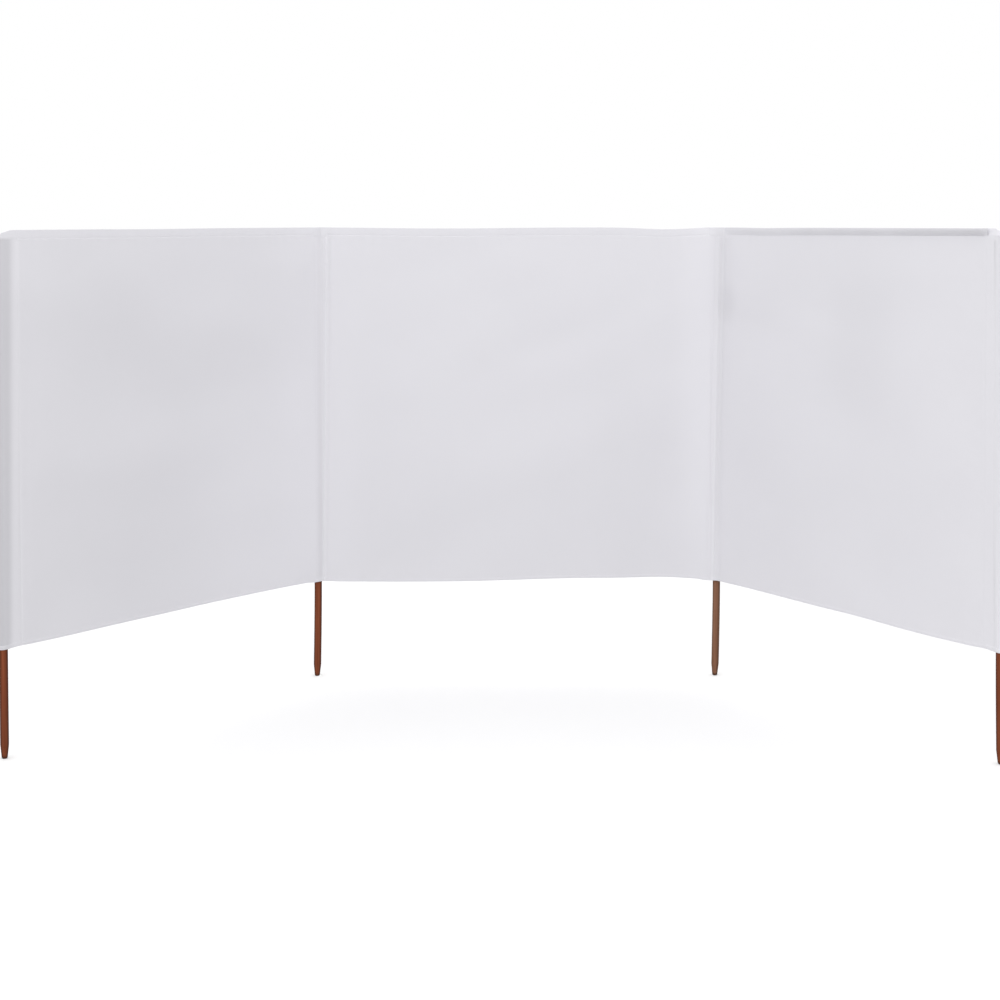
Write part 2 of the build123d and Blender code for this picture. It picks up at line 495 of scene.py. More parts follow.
def makePanel(bayName):
    bay = bays[bayName]
    tuck = panelLook["tuck"]
    top = hemFoot + max(hemLook["bays"][bayName]["rise"]) + tuck
    u = crowded(panelLook["columns"], panelLook["crowding"])
    v = crowded(panelLook["rows"], panelLook["crowding"])[:, None]
    along = bay["from"] - tuck + u * (bay["to"] - bay["from"] + 2 * tuck)
    z = mouthTop - tuck + v * (top - mouthTop + tuck) + 0 * along
    along = along + 0 * z
    shift = (1 - v) * edgeShift(bayName, along, "bottom") + v * edgeShift(bayName, along, "top")
    points = bayPoints(bayName, along, sheetOffset(bayName, along, z), z + shift)
    piece = gridObject(bayName + "_cloth", points, np.stack([along, z], -1))
    addPoleShade(piece)
    addAttribute(piece, "tone", clothLightAndShade(bayName, along, z))
    solid = piece.modifiers.new("clothThickness", "SOLIDIFY")
    solid.thickness = panelLook["thickness"]
    solid.offset = 0
    return piece


def hemFold(bayName, edge, along, s):
    # The fold's own lean at share s of its height: steep at its foot, easing off at its tip.
    if edge == "bottom":
        return 0 * along * s
    bay = bays[bayName]
    look = hemLook["bays"][bayName]
    u = (along - bay["from"]) / (bay["to"] - bay["from"])
    first, last = look["lean"]
    hold = hemLook["endHold"]
    held = smooth(u / hemLook["startRun"]) * (hold + (1 - hold) * smooth((1 - u) / hemLook["endRun"]))
    drift = hemLook["waveDrift"] * np.sin(hemLook["driftRate"] * along)
    wave = look["wave"] * np.sin(fullTurn * along / hemLook["waveLength"] + drift)
    lean = first + (last - first) * np.clip(u, 0, 1) + wave
    return held * lean * (1 - (1 - s) ** hemLook["easing"])


def hemHeights(bayName, edge, along):
    shift = edgeShift(bayName, along, edge)
    if edge == "top":
        rise = between(hemLook["bays"][bayName]["rise"], along / bays[bayName]["pitch"])
        return hemFoot + rise + shift, clothTop + shift
    return clothBottom + shift, mouthTop + shift


def hemHalf(edge, s):
    # Half the fold's thickness at share s: a pillow that thins towards the sewn edge.
    fromSewn = s if edge == "top" else 1 - s
    sewn = hemLook["sewnShare"] + (1 - hemLook["sewnShare"]) * smooth(fromSewn / hemLook["sewnRun"])
    return hemLook["thickness"] / 2 * (1 + hemLook["pillow"] * np.sin(np.pi * s) ** 2) * sewn


def makeHem(bayName, edge):
    # Profile: a flattened oval, s up its height and its half thickness as a low power of the sine.
    bay = bays[bayName]
    look = hemLook["bays"][bayName]
    share = crowded(hemLook["stations"], hemLook["crowding"])[:, None]
    overlap = hemLook["overlap"]
    beyond = overlap + (look["beyond"] if edge == "top" else 0.0)
    along = bay["from"] - overlap + share * (bay["to"] + beyond - bay["from"] + overlap)
    angle = np.linspace(0, fullTurn, hemLook["around"], endpoint=False)[None, :]
    s = (1 - np.cos(angle)) / 2
    side = np.sign(np.sin(angle)) * np.abs(np.sin(angle)) ** hemLook["squareness"]
    foot, tip = hemHeights(bayName, edge, along)
    z = foot + s * (tip - foot)
    level = foot if edge == "top" else mouthTop
    middle = sheetOffset(bayName, along, level) - hemLook["setBack"] + hemFold(bayName, edge, along, s)
    askew = along + 0 * s
    if edge == "top":
        askew = along + look["slant"] * (s - 0.5) * smooth((share - 1) / hemLook["slantRun"] + 1)
    fromEnds = np.minimum(along - along[0], along[-1] - along)
    taper = hemLook["taperShare"] + (1 - hemLook["taperShare"]) * smooth(fromEnds / hemLook["taperRun"])
    points = bayPoints(bayName, askew, middle + hemHalf(edge, s) * side * taper, z)
    girth = np.linspace(0, 2 * (clothTop - hemFoot), hemLook["around"] + 1)[None, :]
    clothMap = np.stack(np.broadcast_arrays(along, girth), -1)
    piece = gridObject(f"{bayName}_{edge}_fold", points, clothMap, ring=True)
    tone = clothLightAndShade(bayName, along, z)
    # Painted light and shade on the fold: the top hem's tone and grade, and a painted light line along
    # the bottom fold.
    if edge == "top":
        tone = tone + between(look["tone"], share) + between(look["shadeGrade"], s)
    else:
        tone = tone + hemLook["bottomLightLine"]
    addAttribute(piece, "tone", tone)
    closeShell(piece)
    addPoleShade(piece)
    return piece


# Pockets: in plan, flat tails along the bays joined round the back of the pole by two straight
# runs and an arc that they touch, and across its front by a curve from tail to tail. At the top
# only the back closes: the arc shrinks and moves up to the front, which runs on straight.
# At the end poles the flat top slopes down to its outer corner (topDrop) and leans back (topLean),
# and the mouth hangs lower on its outer side (mouthDrop).
pocketLook = {
    "tailPoints": 14, "tipPoints": 5, "runPoints": 9, "arcPoints": 30, "bendPoints": 22,
    "bodyRows": 74, "closingRows": 44, "rollPoints": 5, "merge": 0.001 * mm,
    "closingRun": 60 * mm, "tuck": 3 * mm, "ceilingGap": 0.25 * mm, "bendShare": 0.8,
    "wrinkle": 0.06 * mm, "wrinkleCount": 7, "wrinkleSlant": (-9, 9), "wrinklePitch": (0.05, 0.16),
    "wrinkleTurns": (1, 4), "wrinkleGap": 1.5 * mm, "wrinkleFade": 6 * mm, "seed": 21,
    "gather": 0.7 * mm, "gatherCount": 9, "gatherRise": 14 * mm, "gatherRun": 16 * mm,
    "hemStep": 0.9 * mm, "hemStepRun": 2 * mm, "edgeRoll": 1.1 * mm, "rollIn": 1.5,
    "mouthReach": 40 * mm, "mouthRun": 60 * mm, "toneBlend": 4,
    "pinchShade": 0.07, "pinchSize": 6 * mm, "pinchRise": 7 * mm,
    "ends": {
        "left_end": {"hemRise": 6 * mm, "topDrop": 12 * mm, "dropRun": 32 * mm, "topLean": 2 * mm,
                     "mouthDrop": 3.9 * mm},
        "right_end": {"hemRise": 8 * mm, "topDrop": 20 * mm, "dropRun": 22 * mm, "topLean": 6 * mm,
                      "mouthDrop": 4.7 * mm},
    },
}
pocketSides = {
    "left_end": [("left", "end")],
    "left": [("middle", "start"), ("left", "start")],
    "right": [("right", "start"), ("middle", "end")],
    "right_end": [("right", "end")],
}


def endSize(poleName, key, plain=0.0):
    # A size that the end pockets have and the middle ones don't.
    return pocketLook["ends"].get(poleName, {}).get(key, plain)


def pocketHemFoot(poleName):
    return hemFoot + endSize(poleName, "hemRise")


def pocketTails(poleName, z=clothBottom):
    # The tails in counter-clockwise order, with the weather side after the first one, and with
    # the lean of each for every level.
    v = heightShare(np.atleast_1d(z))[:, None]
    tails = []
    for bayName, endName in pocketSides[poleName]:
        bay = bays[bayName]
        way = bay["way"][:2] * (1 if endName == "start" else -1)
        start, reach = bay[endName + "Tail"]
        tails.append({"way": way, "side": np.array([-way[1], way[0]]), "face": bay["face"][:2],
                      "lean": between(bay[endName + "Lean"], v), "start": start, "reach": reach})
    return tails


def loopOpenness(z):
    # 1 where the pole fills a pocket, falling to 0 where the top hem presses it flat.
    low, high = poleTop + pocketLook["ceilingGap"], clothTop - 2 * pocketLook["edgeRoll"]
    return 1 - smooth((z - low) / (high - low))


def flatCentre(tails):
    # Where the arc ends up at the top: the corner of the tails' middle lines, or the outer
    # edge of a single tail.
    if len(tails) == 1:
        tail = tails[0]
        return tail["face"] * tail["lean"] - tail["way"] * (loopRadius - loopLook["tailHalf"])
    faces = np.stack([tail["face"] for tail in tails])
    return np.concatenate([tail["lean"] for tail in tails], axis=1) @ np.linalg.inv(faces).T


def tailEdge(tail, reach, half, handed):
    # A point on the clockwise (-1) or counter-clockwise (+1) edge of a tail, for every level.
    return tail["way"] * reach + tail["face"] * tail["lean"] + tail["side"] * (half * handed)


def straightRun(first, last, count):
    # Points from first to last for every level, the last one left to the next run.
    t = np.linspace(0, 1, count, endpoint=False)[None, :, None]
    return first[:, None, :] * (1 - t) + last[:, None, :] * t


def tailRun(tail, half):
    # Out along the clockwise edge, round the tip as a half circle, and back along the other edge.
    count = pocketLook["tailPoints"]
    start, reach = tail["start"], tail["reach"]
    outward = straightRun(tailEdge(tail, start, half, -1), tailEdge(tail, reach, half, -1), count)
    inward = straightRun(tailEdge(tail, reach, half, 1), tailEdge(tail, start, half, 1), count)
    angle = np.linspace(-np.pi / 2, np.pi / 2, pocketLook["tipPoints"], endpoint=False)[None, :, None]
    centre = tailEdge(tail, reach, half, 0)[:, None, :]
    tip = centre + half[:, None, :] * (tail["way"] * np.cos(angle) + tail["side"] * np.sin(angle))
    return [outward, tip, inward]


def touchAngle(point, radius, handed):
    # Where a line from a point at distance d touches the circle: off the point's own direction
    # by the angle whose cosine is radius / d.
    turn = np.arccos(np.minimum(radius / np.hypot(*point.T), 1))
    return np.arctan2(point[:, 1], point[:, 0]) + handed * turn


def arcRun(first, second, radius, half, centre):
    # From one tail to the next round the back: a straight run, the arc, a straight run.
    leave = tailEdge(first, first["start"], half, 1) - centre
    arrive = tailEdge(second, second["start"], half, -1) - centre
    leaveAngle, arriveAngle = touchAngle(leave, radius, 1), touchAngle(arrive, radius, -1)
    sweep = np.mod(arriveAngle - leaveAngle, fullTurn)
    share = np.linspace(0, 1, pocketLook["arcPoints"])[None, :]
    angle = leaveAngle[:, None] + share * sweep[:, None]
    arc = radius[:, None, None] * np.stack([np.cos(angle), np.sin(angle)], -1)
    count = pocketLook["runPoints"]
    runs = [straightRun(leave, arc[:, 0], count), arc[:, :-1], straightRun(arc[:, -1], arrive, count)]
    return [run + centre[:, None, :] for run in runs]


def bendRun(first, second, half):
    # From one tail to the next across the front: a quadratic curve towards the corner where the
    # front faces of the two tails would meet.
    leave = tailEdge(first, first["start"], half, 1)
    arrive = tailEdge(second, second["start"], half, -1)
    faces = np.stack([first["face"], second["face"]])
    distances = np.concatenate([first["lean"], second["lean"]], axis=1) + half
    corner = distances @ np.linalg.inv(faces).T
    t = np.linspace(0, 1, pocketLook["bendPoints"], endpoint=False)[None, :, None]
    return [leave[:, None] * (1 - t) ** 2 + corner[:, None] * 2 * t * (1 - t) + arrive[:, None] * t * t]


def pocketOutline(poleName, z, swell):
    # The closed outline in plan at every level z, round the pole's own axis.
    tails = pocketTails(poleName, z)
    openness = loopOpenness(z)[:, None]
    half = loopLook["tailHalf"] + swell / 2
    radius = loopLook["tailHalf"] + (loopRadius - loopLook["tailHalf"]) * openness + swell
    centre = (1 - openness) * flatCentre(tails)
    runs = []
    for step, tail in enumerate(tails):
        nextTail = tails[(step + 1) % len(tails)]
        runs += tailRun(tail, half)
        if step == 0:
            runs += arcRun(tail, nextTail, radius[:, 0], half, centre)
        else:
            runs += bendRun(tail, nextTail, half)
    return np.concatenate(runs, axis=1)


def outlineNormals(outline):
    # Outward normals of a counter-clockwise outline: its direction turned a quarter clockwise.
    ahead = np.roll(outline, -1, axis=1) - np.roll(outline, 1, axis=1)
    ahead /= np.linalg.norm(ahead, axis=-1, keepdims=True) + tiny
    return np.stack([ahead[..., 1], -ahead[..., 0]], -1)


def mouthPinch(poleName, plan, level):
    # A bell in front of the pole, just over the rim of the mouth, where a pinch's shade is painted.
    size = pocketLook["pinchSize"]
    over = mouthTop + slideLook["bottom"][poleName] + pocketLook["pinchRise"]
    return bump(plan[..., 0], 0, size) * bump(level, over, size)


def pocketWrinkles(poleName, outline, normals, z):
    # Fine creases down the back of the loop, gathers that fan out where it closes, and the
    # seam lines on its face.
    draw = np.random.default_rng(pocketLook["seed"] + poleNames.index(poleName))
    tails = pocketTails(poleName)
    angle = np.arctan2(outline[..., 1], outline[..., 0])
    level = z[:, None]
    total = np.zeros(angle.shape)
    for step in range(pocketLook["wrinkleCount"]):
        phase, slant = draw.uniform(0, fullTurn), draw.uniform(*pocketLook["wrinkleSlant"])
        pitch = draw.uniform(*pocketLook["wrinklePitch"])
        turns = draw.integers(*pocketLook["wrinkleTurns"])
        total += np.sin(fullTurn * level / pitch + turns * angle + phase + slant * level)
    gathers = np.abs(np.sin(pocketLook["gatherCount"] * angle / 2 + draw.uniform(0, fullTurn)))
    gathers = gathers * bump(level, poleTop + pocketLook["gatherRise"], pocketLook["gatherRun"])
    facing = np.mean([tail["face"] for tail in tails], axis=0)
    behind = smooth(0.5 - normals @ facing)
    away = np.hypot(outline[..., 0], outline[..., 1]) - loopRadius - pocketLook["wrinkleGap"]
    near = 1 - smooth(away / pocketLook["wrinkleFade"])
    rise = near * (pocketLook["wrinkle"] * total + pocketLook["gather"] * behind * gathers)
    for tail, (bayName, endName) in zip(tails, pocketSides[poleName]):
        front = smooth(normals @ tail["face"])
        rise = rise + front * seamSum(poleName, bayName, outline @ tail["way"], level, "height")
    return rise


def shapeTop(poleName, plan, level):
    # The flat top of an end pocket: leaning back, and lower towards its outer corner. Its mouth
    # hangs lower on the outer side too.
    tail = pocketTails(poleName)[0]
    foot = pocketHemFoot(poleName)
    share = np.clip((level - foot) / (clothTop - foot), 0, 1)[:, None]
    run = endSize(poleName, "dropRun", loopRadius)
    corner = np.clip((run - plan @ tail["way"]) / (run + loopRadius), 0, 1)
    drop = (endSize(poleName, "topDrop") * corner - slideLook["top"][poleName]) * share
    reach = pocketLook["mouthReach"]
    outer = np.clip((reach - plan @ tail["way"]) / (reach + loopRadius), 0, 1)
    low = 1 - smooth((level - mouthTop) / pocketLook["mouthRun"])[:, None]
    drop = drop + endSize(poleName, "mouthDrop") * outer * low
    lean = endSize(poleName, "topLean") * share
    return plan - lean[..., None] * tail["face"], level[:, None] - drop


def pocketLightAndShade(poleName, plan, level):
    # The painted light and shade of each bay carried on over its tail and shared out across the pole,
    # with the lines, less a painted shade for the pinch over the mouth.
    sides, lines = [], 0
    for tail, (bayName, endName) in zip(pocketTails(poleName), pocketSides[poleName]):
        reach = plan @ tail["way"]
        along = reach if endName == "start" else bays[bayName]["pitch"] - reach
        sides.append((reach, patchLightAndShade(bayName, along, level)))
        lines = lines + seamSum(poleName, bayName, reach, level, "tone")
    if len(sides) == 1:
        return sides[0][1] + lines
    (firstReach, firstTone), (lastReach, lastTone) = sides
    share = smooth(0.5 + (firstReach - lastReach) / (pocketLook["toneBlend"] * loopRadius))
    lines = lines - pocketLook["pinchShade"] * mouthPinch(poleName, plan, level)
    return firstTone * share + lastTone * (1 - share) + lines


def makeSleeve(name, poleName, z, swell, wall, ceiling, shadeShare=1.0):
    # One closed surface: down the inside wall from the ceiling to the mouth, then up the outside,
    # and back to its first row where the inside wall goes all the way up.
    outer = pocketOutline(poleName, z, swell)
    normals = outlineNormals(outer)
    outer = outer + normals * pocketWrinkles(poleName, outer, normals, z)[..., None]
    inside = z <= ceiling
    inner = (outer - normals * wall)[inside][::-1]
    plan = np.concatenate([inner, outer])
    level = np.concatenate([z[inside][::-1], z])
    if inside.all():
        plan = np.concatenate([plan, inner[:1]])
        level = np.append(level, level[0])
    shaped, height = shapeTop(poleName, plan, level)
    points = np.concatenate([shaped, height[..., None]], -1) + poleAxis[poleName]
    steps = np.linalg.norm(np.diff(outer[0], axis=0, append=outer[0][:1]), axis=-1)
    girth = np.concatenate([[0], np.cumsum(steps)])
    clothMap = np.stack(np.broadcast_arrays(girth[None, :], level[:, None]), -1)
    piece = gridObject(name, points, clothMap, ring=True)
    addAttribute(piece, "tone", pocketLightAndShade(poleName, plan, level[:, None]))
    closeShell(piece, merge=pocketLook["merge"])
    addPoleShade(piece, shadeShare)
    return piece


def makePocket(poleName):
    # Above its foot the hem thickens the loop by a step, and its top edge rolls over as a
    # quarter circle.
    turn = poleTop - pocketLook["closingRun"]
    roll = pocketLook["edgeRoll"]
    mouth = mouthTop + slideLook["bottom"][poleName] - pocketLook["tuck"]
    body = np.linspace(mouth + pocketLook["tuck"] / 2, turn, pocketLook["bodyRows"])
    body = np.append(mouth, body)
    closing = np.linspace(turn, clothTop - roll, pocketLook["closingRows"])[1:]
    edge = clothTop - roll * (1 - np.sin(np.linspace(0, np.pi / 2, pocketLook["rollPoints"])))[1:]
    z = np.concatenate([body, closing, edge])
    step = pocketLook["hemStep"] * smooth((z - pocketHemFoot(poleName)) / pocketLook["hemStepRun"])
    over = np.clip((z - clothTop + roll) / roll, 0, 1)
    rolled = pocketLook["rollIn"] * roll * (1 - np.sqrt(1 - over ** 2))
    swell = (step - rolled)[:, None]
    ceiling = poleTop + pocketLook["ceilingGap"]
    return makeSleeve(poleName + "_sleeve", poleName, z, swell, loopLook["wall"], ceiling)


mouthLook = {"swell": 0.55 * mm, "wall": 1.2 * mm, "roll": 1.6 * mm, "levels": 13, "flatShare": 0.25}


def makeMouth(poleName):
    # The turned rim: its swell eases off at both edges as a quarter circle does.
    z = np.linspace(clothBottom, mouthTop, mouthLook["levels"])
    edge = np.minimum(z - clothBottom, mouthTop - z) / mouthLook["roll"]
    ease = np.sqrt(1 - (1 - np.clip(edge, 0, 1)) ** 2)
    share = mouthLook["flatShare"]
    swell = (mouthLook["swell"] * (share + (1 - share) * ease))[:, None]
    z = z + slideLook["bottom"][poleName]
    rim = poleName + "_mouth_rim"
    return makeSleeve(rim, poleName, z, swell, mouthLook["wall"], z[-1], paintedPoleShade["rimShare"])


# Poles: a turned profile carried round the axis, hardly out of round. Below the cloth the pole
# bows sideways, by bow at its foot.
# Side shade: the two opposite sides of the pole are painted darker, a painted shade for where it
# turns away from the light, turned by an angle for each pole.
poleLook = {
    "around": 56, "pointLength": 40 * mm, "pointShare": 0.66, "nose": 4 * mm, "crown": 2 * mm,
    "nosePoints": 7, "taperRows": 12, "shaftRows": 90, "crownPoints": 6, "seed": 5,
    "unevenness": 0.10 * mm, "ridges": (2, 3, 5), "twist": (2, 9),
    "evenFoot": 0.05, "evenCrown": 0.02, "shadeFrom": 0.35, "sideRun": 0.55,
    "shadeTurn": {"left_end": 12, "left": 0, "right": -14, "right_end": -22},
    "bow": {"left_end": 0.0, "left": -4.9 * mm, "right": -5.1 * mm, "right_end": 4.0 * mm},
    "bowPower": 1.5,
}


def makePole(poleName):
    # Radius by height: the nose as a quarter arc, the taper, the shaft and the eased crown.
    look = poleLook
    nose = look["nose"] * (1 - np.cos(np.linspace(0, np.pi / 2, look["nosePoints"])))
    taper = np.linspace(look["nose"], look["pointLength"], look["taperRows"])[1:]
    shaft = np.linspace(look["pointLength"], poleTop - look["crown"], look["shaftRows"])[1:]
    crown = poleTop - look["crown"] * (1 - np.sin(np.linspace(0, np.pi / 2, look["crownPoints"])))[1:]
    z = np.concatenate([nose, taper, shaft, crown])
    pointRadius = look["pointShare"] * poleRadius
    radius = pointRadius + (poleRadius - pointRadius) * np.clip(z / look["pointLength"], 0, 1)
    noseDepth = np.clip((look["nose"] - z) / look["nose"], 0, 1)
    crownDepth = np.clip((z - poleTop + look["crown"]) / look["crown"], 0, 1)
    radius = radius - look["nose"] * (1 - np.sqrt(1 - noseDepth ** 2))
    radius = radius - look["crown"] * (1 - np.sqrt(np.clip(1 - crownDepth ** 2, 0, 1)))
    draw = np.random.default_rng(look["seed"] + poleNames.index(poleName))
    angle = np.linspace(0, fullTurn, look["around"], endpoint=False)[None, :]
    level = z[:, None]
    uneven = 0
    for ridges in look["ridges"]:
        phase, twist = draw.uniform(0, fullTurn), draw.uniform(*look["twist"])
        uneven = uneven + np.sin(ridges * angle + phase + twist * level)
    inner = np.minimum(level / look["evenFoot"], 1)
    inner = inner * np.minimum((poleTop - level) / look["evenCrown"], 1)
    wide = radius[:, None] - look["unevenness"] * inner * (1 + uneven / len(look["ridges"])) / 2
    sway = look["bow"][poleName] * np.clip(1 - level / clothBottom, 0, 1) ** look["bowPower"]
    points = np.stack(np.broadcast_arrays(wide * np.cos(angle) + sway, wide * np.sin(angle), level), -1)
    piece = gridObject(poleName + "_dowel", points + poleAxis[poleName], ring=True)
    # Painted shade: how far each point faces the two darker sides of the pole.
    turned = np.abs(np.cos(angle - np.radians(look["shadeTurn"][poleName]))) + 0 * level
    addAttribute(piece, "sideShade", smooth((turned - look["shadeFrom"]) / look["sideRun"]))
    closeShell(piece)
    return piece


# Stitches: one spindle of thread for each stitch, half sunk in the cloth. Its rings stand at
# stations along its half length, each as wide as its share of the radius.
stitchLook = {
    "pitch": 4.6 * mm, "length": 3.4 * mm, "radius": 0.36 * mm, "lift": 0.10 * mm, "sides": 4,
    "stations": (-0.62, 0.0, 0.62), "widthShares": (0.75, 1.0, 0.75),
    "hemInset": 3.0 * mm, "hemEndGap": 6 * mm,
    "seamInset": 3.5 * mm, "seamFootGap": 4 * mm, "seamTopGap": 6 * mm,
}
facesPerStitch = 2 * stitchLook["sides"] * len(stitchLook["stations"])


def spindles(places, headings, normals):
    # Rings along each stitch, closed by a point at each end, on a spine that lifts as a parabola.
    sides, ringCount = stitchLook["sides"], len(stitchLook["stations"])
    across = np.cross(normals, headings)
    station = np.array(stitchLook["stations"])
    width = np.array(stitchLook["widthShares"]) * stitchLook["radius"]
    angle = np.arange(sides) * fullTurn / sides + np.pi / sides
    half = stitchLook["length"] / 2
    spine = places[:, None] + headings[:, None] * (station * half)[None, :, None]
    spine = spine + normals[:, None] * (stitchLook["lift"] * (1 - station ** 2))[None, :, None]
    rim = (across[:, None, None] * np.cos(angle)[None, None, :, None]
           + normals[:, None, None] * np.sin(angle)[None, None, :, None])
    rings = spine[:, :, None] + rim * width[None, :, None, None]
    tips = [places - headings * half, places + headings * half]
    points = np.concatenate([rings.reshape(len(places), -1, 3), tips[0][:, None], tips[1][:, None]], 1)
    here = np.arange(sides)
    beside = (here + 1) % sides
    firstTip, lastTip = ringCount * sides, ringCount * sides + 1
    faces = [np.stack([np.full(sides, firstTip), beside, here], -1)]
    for ring in range(ringCount - 1):
        a, b = ring * sides, (ring + 1) * sides
        faces.append(np.stack([a + here, a + beside, b + beside], -1))
        faces.append(np.stack([a + here, b + beside, b + here], -1))
    lastRing = (ringCount - 1) * sides
    faces.append(np.stack([np.full(sides, lastTip), lastRing + here, lastRing + beside], -1))
    faces = np.concatenate(faces)
    allFaces = faces[None] + (lastTip + 1) * np.arange(len(places))[:, None, None]
    return points.reshape(-1, 3), allFaces.reshape(-1, 3)


def hemStitches(bayName, edge):
    # A row along each face of a hem, just inside its sewn edge.
    bay = bays[bayName]
    gap = stitchLook["hemEndGap"]
    along = np.arange(bay["from"] + gap, bay["to"] - gap, stitchLook["pitch"])
    foot, tip = hemHeights(bayName, edge, along)
    inset = stitchLook["hemInset"] / (tip - foot)
    s = inset if edge == "top" else 1 - inset
    level = foot if edge == "top" else mouthTop
    half = hemHalf(edge, s)
    squeeze = (2 * np.sqrt(s * (1 - s))) ** hemLook["squareness"]
    middle = sheetOffset(bayName, along, level) - hemLook["setBack"] + hemFold(bayName, edge, along, s)
    rows = []
    for side in (1, -1):
        places = bayPoints(bayName, along, middle + side * half * squeeze, foot + s * (tip - foot))
        headings = np.gradient(places, axis=0)
        headings /= np.linalg.norm(headings, axis=-1, keepdims=True)
        normals = np.broadcast_to(bay["face"] * side, places.shape)
        rows.append((places, headings, normals))
    return rows


def seamStitches(poleName):
    # A row up each face of every tail of a pocket, with the body that the tail belongs to.
    low, high = mouthTop + stitchLook["seamFootGap"], poleTop - stitchLook["seamTopGap"]
    z = np.arange(low, high, stitchLook["pitch"])
    half = np.full((len(z), 1), loopLook["tailHalf"])
    rows = []
    for tail, (bayName, endName) in zip(pocketTails(poleName, z), pocketSides[poleName]):
        reach = tail["reach"] - stitchLook["seamInset"]
        for side in (1, -1):
            plan = tailEdge(tail, reach, half, side)
            places = np.concatenate([plan, z[:, None]], -1) + poleAxis[poleName]
            headings = np.broadcast_to(up, places.shape)
            normals = np.broadcast_to(np.append(tail["side"] * side, 0.0), places.shape)
            rows.append((bays[bayName]["body"], (places, headings, normals)))
    return rows


def makeStitches(bodyName, rows):
    places, headings, normals = (np.concatenate(parts) for parts in zip(*rows))
    points, faces = spindles(places, headings, normals)
    piece = meshObject(bodyName + "_stitching", points, faces)
    closeShell(piece)
    return piece


# Materials: nodes on Object coordinates, or on the cloth's own map and attributes.
noiseRange = (0.3, 0.7)  # where nearly all values of a noise lie


def newMaterial(name):
    material = bpy.data.materials.new(name)
    material.use_nodes = True
    nodes = material.node_tree.nodes
    shader = next(node for node in nodes if node.type == "BSDF_PRINCIPLED")
    return material, material.node_tree, shader


def plug(tree, socket, value):
    # A link where the value comes from a node, and a plain setting otherwise.
    if isinstance(value, bpy.types.NodeSocket):
        tree.links.new(value, socket)
    else:
        socket.default_value = value


def addNode(tree, kind, settings=None, **inputs):
    # An input goes by its name, or as s0, s1 and so on by its number.
    node = tree.nodes.new(kind)
    for key, value in (settings or {}).items():
        setattr(node, key, value)
    for key, value in inputs.items():
        plug(tree, node.inputs[int(key[1:]) if key[1:].isdigit() else key], value)
    return node


def setShader(tree, shader, values):
    for socketName, value in values.items():
        plug(tree, shader.inputs[socketName], value)


def math(tree, operation, a, b=0.0):
    return addNode(tree, "ShaderNodeMath", {"operation": operation}, s0=a, s1=b).outputs[0]


def mixColour(tree, factor, a, b):
    return addNode(tree, "ShaderNodeMix", {"data_type": "RGBA"}, s0=factor, s6=a, s7=b).outputs[2]


def mixTone(tree, a, b, share):
    # A share of a and the rest of b.
    return math(tree, "ADD", math(tree, "MULTIPLY", a, share), math(tree, "MULTIPLY", b, 1 - share))


def noiseTone(tree, place, scale, detail, **more):
    noise = addNode(tree, "ShaderNodeTexNoise", Vector=place, Scale=scale, Detail=detail, **more)
    return noise.outputs["Fac"]


def stretchedNoise(tree, place, stretch, detail, **more):
    stretched = addNode(tree, "ShaderNodeMapping", Vector=place, Scale=stretch).outputs[0]
    return noiseTone(tree, stretched, 1.0, detail, **more)


def fromNoise(tree, value, first, last):
    # The range of a noise carried over to the range from first to last.
    low, high = noiseRange
    return addNode(tree, "ShaderNodeMapRange", s0=value, s1=low, s2=high, s3=first, s4=last).outputs[0]


def attribute(tree, name):
    return addNode(tree, "ShaderNodeAttribute", {"attribute_name": name}).outputs["Fac"]


def objectPlace(tree):
    return addNode(tree, "ShaderNodeTexCoord").outputs["Object"]


def seenDirectly(tree):
    # 1 for what the camera sees, also in a mirror or through glass, and 0 for light that bounces.
    path = addNode(tree, "ShaderNodeLightPath").outputs
    beyond = math(tree, "MAXIMUM", path["Is Glossy Ray"], path["Is Transmission Ray"])
    return math(tree, "MAXIMUM", path["Is Camera Ray"], beyond)


clothFinish = {
    "colour": (0.752, 0.746, 0.780, 1), "shaded": (0.716, 0.708, 0.746, 1),
    # The grey is the colour of the painted shade beside the poles.
    "poleShadeColour": (0.26, 0.258, 0.275, 1), "rough": (0.80, 0.92), "sheen": 0.06, "specular": 0.25,
    "threadPitch": 1.1 * mm, "weaveBump": 0.10, "weaveDepth": 0.2 * mm,
    "slubAcross": 900, "slubAlong": 24, "slubDetail": 2.0, "slubShare": 0.55,
    "slubBump": 0.10, "slubDepth": 0.4 * mm, "blotchScale": 3.2, "blotchDetail": 3.0,
}


